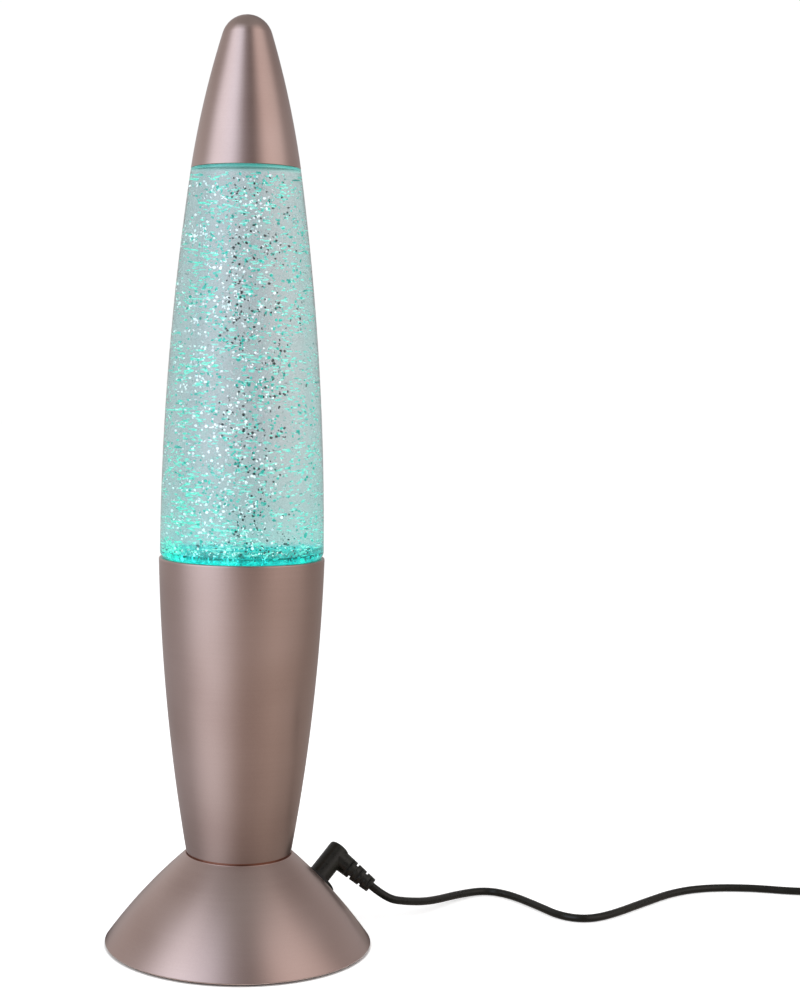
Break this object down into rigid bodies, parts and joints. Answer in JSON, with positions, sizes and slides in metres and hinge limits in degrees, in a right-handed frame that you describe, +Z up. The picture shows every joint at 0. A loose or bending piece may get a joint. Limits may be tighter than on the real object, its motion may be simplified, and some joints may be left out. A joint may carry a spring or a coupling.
{
  "type": "glitter lamp",
  "caption": "Rocket-shaped glitter lamp: flared foot, tapered metal body, clear liquid bottle with silver flakes, pointed cap, and a low-voltage cord with an angled plug.",
  "frame": {"origin": "on the lamp's axis, in the plane that the rubber feet stand on", "axes": "+Z up along the lamp's axis; +X to the right and +Y away in the pictured view"},
  "size_m": [0.3806, 0.1317, 0.378],
  "materials": {
    "satin_lacquer": "satin metallic lacquer in a greyed rose, smooth",
    "clear_wall": "clear, polished",
    "clear_window": "clear acrylic, polished",
    "glitter_liquid": "clear liquid that looks milky grey with a teal tint from the light below",
    "silver_flake": "mirror-bright flakes",
    "black_plastic": "fine satin moulding",
    "black_cord": "soft satin sheath",
    "red_wire": "satin sheath",
    "rubber_pad": "matt",
    "zinc_steel": "zinc plated",
    "iron_ballast": "raw casting",
    "nickel": "nickel plated",
    "white_plastic": "natural white moulding",
    "white_board": "white solder mask",
    "light_chip": "clear resin over phosphor"
  },
  "bodies": {
    "base": {"foot_shell": "satin_lacquer", "base_plate": "black_plastic", "rubber_feet": "rubber_pad", "base_screws": "zinc_steel", "ballast_weight": "iron_ballast", "ballast_bolt": "zinc_steel", "ballast_nut": "zinc_steel", "dc_jack": "black_plastic", "jack_pin": "nickel", "jack_nut": "zinc_steel", "body_shell": "satin_lacquer", "body_screws": "zinc_steel", "carrier_plate": "white_plastic", "carrier_screws": "zinc_steel", "led_board": "white_board", "leds": "light_chip", "driver_chip": "black_plastic", "light_window": "clear_window", "motor_can": "zinc_steel", "motor_end_cap": "white_plastic", "motor_screws": "zinc_steel", "supply_wire_red": "red_wire", "supply_wire_black": "black_cord", "motor_wires": "red_wire", "cord_free": "black_cord", "cord_coil": "black_cord", "cord_tail": "black_cord", "usb_strain_relief": "black_plastic", "usb_grip": "black_plastic", "usb_shell": "nickel", "usb_tongue": "white_plastic"},
    "rotor": {"motor_shaft": "zinc_steel", "magnet_disc": "white_plastic", "drive_magnets": "nickel"},
    "vessel": {"bottle": "clear_wall", "bottle_closure": "white_plastic", "closure_seal": "white_plastic", "liquid": "glitter_liquid", "glitter_flakes": "silver_flake", "stirrer_spindle": "nickel"},
    "mixer": {"stirrer": "white_plastic", "stirrer_magnets": "nickel"},
    "top": {"cap": "satin_lacquer"},
    "connector": {"plug_head": "black_plastic", "plug_strain_relief": "black_plastic", "plug_barrel": "nickel"}
  },
  "joints": [
    {"name": "bottle_lift", "type": "slide", "parent": "base", "child": "vessel", "axis": [0, 0, 1], "range_m": [0, 0.02]},
    {"name": "cap_lift", "type": "slide", "parent": "vessel", "child": "top", "axis": [0, 0, 1], "range_m": [0, 0.03]},
    {"name": "motor_spin", "type": "hinge", "parent": "base", "child": "rotor", "pos_m": [0, 0, 0.12], "axis": [0, 0, 1], "continuous": true},
    {"name": "stirrer_spin", "type": "hinge", "parent": "vessel", "child": "mixer", "pos_m": [0, 0, 0.152], "axis": [0, 0, 1], "continuous": true},
    {"name": "plug_pull", "type": "slide", "parent": "base", "child": "connector", "axis": [0.6134, 0.4287, 0.6633], "range_m": [0, 0.011], "deforming": ["cord_free"]}
  ],
  "couplings": [
    {"joint": "stirrer_spin", "follows": "motor_spin", "ratio": 1}
  ]
}
